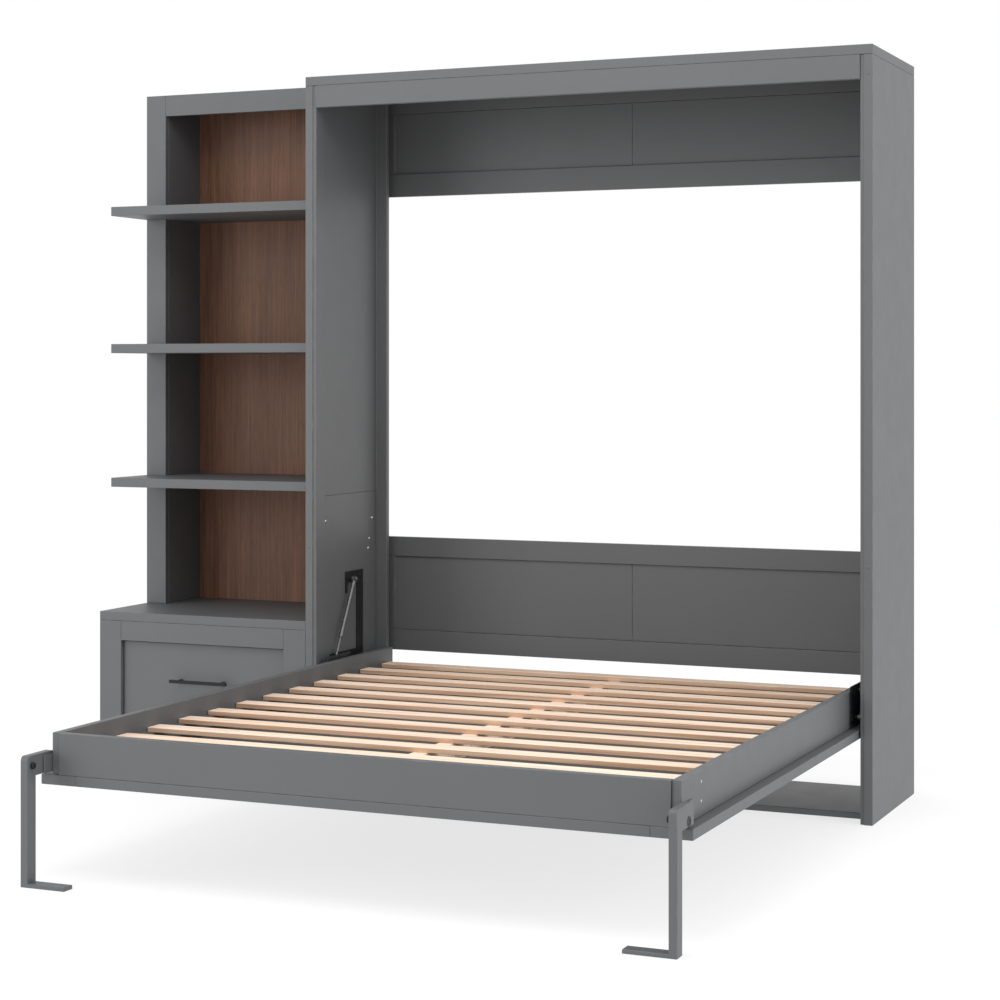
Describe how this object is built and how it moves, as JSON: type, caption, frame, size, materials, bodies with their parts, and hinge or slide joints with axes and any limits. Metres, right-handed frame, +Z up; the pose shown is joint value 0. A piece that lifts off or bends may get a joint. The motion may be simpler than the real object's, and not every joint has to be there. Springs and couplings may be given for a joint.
{
  "type": "murphy wall bed",
  "caption": "Wall bed that folds down from a tall cabinet on telescopic stays and hanging legs, with an open shelf tower and a drawer base beside it.",
  "frame": {"origin": "on the floor, at the centre of the whole unit's box with the bed open", "axes": "+X to the right seen from the foot of the bed, +Y towards the wall, +Z up"},
  "size_m": [2.5414, 2.199, 2.21],
  "materials": {
    "grey_paint": "satin mid-grey paint on board",
    "walnut": "walnut veneer, satin",
    "pine": "pale softwood, planed, unfinished",
    "black_steel": "black powder coat",
    "bright_steel": "bright zinc plate"
  },
  "bodies": {
    "cabinet": {"top_slab": "grey_paint", "left_side_panel": "grey_paint", "right_side_panel": "grey_paint", "left_mechanism_board": "grey_paint", "right_mechanism_board": "grey_paint", "header_rail": "grey_paint", "floor_board": "grey_paint", "upper_back_rail": "grey_paint", "upper_back_panel_left": "grey_paint", "upper_back_panel_right": "grey_paint", "lower_back_top_rail": "grey_paint", "lower_back_bottom_rail": "grey_paint", "lower_back_panel_left": "grey_paint", "lower_back_panel_right": "grey_paint", "tower_left_side": "grey_paint", "tower_right_side": "grey_paint", "tower_top": "grey_paint", "tower_face_frame": "grey_paint", "tower_back": "walnut", "shelf_upper": "grey_paint", "shelf_middle": "grey_paint", "shelf_lower": "grey_paint", "base_top": "grey_paint", "base_left_side": "grey_paint", "base_right_side": "grey_paint", "base_face_frame": "grey_paint", "base_bottom": "grey_paint", "base_back": "grey_paint", "left_lift_frame": "black_steel", "right_lift_frame": "black_steel"},
    "bed": {"left_side_rail": "grey_paint", "right_side_rail": "grey_paint", "foot_rail": "grey_paint", "face_panel": "grey_paint", "centre_beam": "pine", "slat_01": "pine", "slat_02": "pine", "slat_03": "pine", "slat_04": "pine", "slat_05": "pine", "slat_06": "pine", "slat_07": "pine", "slat_08": "pine", "slat_09": "pine", "slat_10": "pine", "slat_11": "pine", "slat_12": "pine", "left_leg_bracket": "grey_paint", "right_leg_bracket": "grey_paint", "left_pivot_plate": "black_steel", "right_pivot_plate": "black_steel"},
    "left_leg_body": {"left_leg": "grey_paint"},
    "right_leg_body": {"right_leg": "grey_paint"},
    "left_tube_body": {"left_strut_tube": "bright_steel"},
    "right_tube_body": {"right_strut_tube": "bright_steel"},
    "left_rod_body": {"left_strut_rod": "bright_steel"},
    "right_rod_body": {"right_strut_rod": "bright_steel"},
    "drawer": {"drawer_front": "grey_paint", "drawer_box": "pine", "drawer_handle": "black_steel"}
  },
  "joints": [
    {"name": "bed_fold", "type": "hinge", "parent": "cabinet", "child": "bed", "pos_m": [0.37665, 0.683, 0.3635], "axis": [-1, 0, 0], "range_deg": [0, 90]},
    {"name": "left_leg_fold", "type": "hinge", "parent": "bed", "child": "left_leg_body", "pos_m": [-0.46185, -1.0135, 0.285], "axis": [1, 0, 0], "range_deg": [0, 90]},
    {"name": "right_leg_fold", "type": "hinge", "parent": "bed", "child": "right_leg_body", "pos_m": [1.21515, -1.0135, 0.285], "axis": [1, 0, 0], "range_deg": [0, 90]},
    {"name": "left_strut_swing", "type": "hinge", "parent": "cabinet", "child": "left_tube_body", "pos_m": [-0.46635, 0.8015, 0.61], "axis": [-1, 0, 0], "range_deg": [0, 16]},
    {"name": "right_strut_swing", "type": "hinge", "parent": "cabinet", "child": "right_tube_body", "pos_m": [1.21965, 0.8015, 0.61], "axis": [-1, 0, 0], "range_deg": [0, 16]},
    {"name": "left_strut_slide", "type": "slide", "parent": "left_tube_body", "child": "left_rod_body", "axis": [0, 0.5016, 0.8651], "range_m": [0, 0.105]},
    {"name": "right_strut_slide", "type": "slide", "parent": "right_tube_body", "child": "right_rod_body", "axis": [0, 0.5016, 0.8651], "range_m": [0, 0.105]},
    {"name": "drawer_slide", "type": "slide", "parent": "cabinet", "child": "drawer", "axis": [0, -1, 0], "range_m": [0, 0.32]}
  ],
  "couplings": [
    {"joint": "left_leg_fold", "follows": "bed_fold", "ratio": 1},
    {"joint": "right_leg_fold", "follows": "bed_fold", "ratio": 1},
    {"joint": "left_strut_swing", "follows": "bed_fold", "ratio": 0.1776},
    {"joint": "right_strut_swing", "follows": "bed_fold", "ratio": 0.1776},
    {"joint": "left_strut_slide", "follows": "bed_fold", "m_per_rad": 0.06627},
    {"joint": "right_strut_slide", "follows": "bed_fold", "m_per_rad": 0.06627}
  ]
}
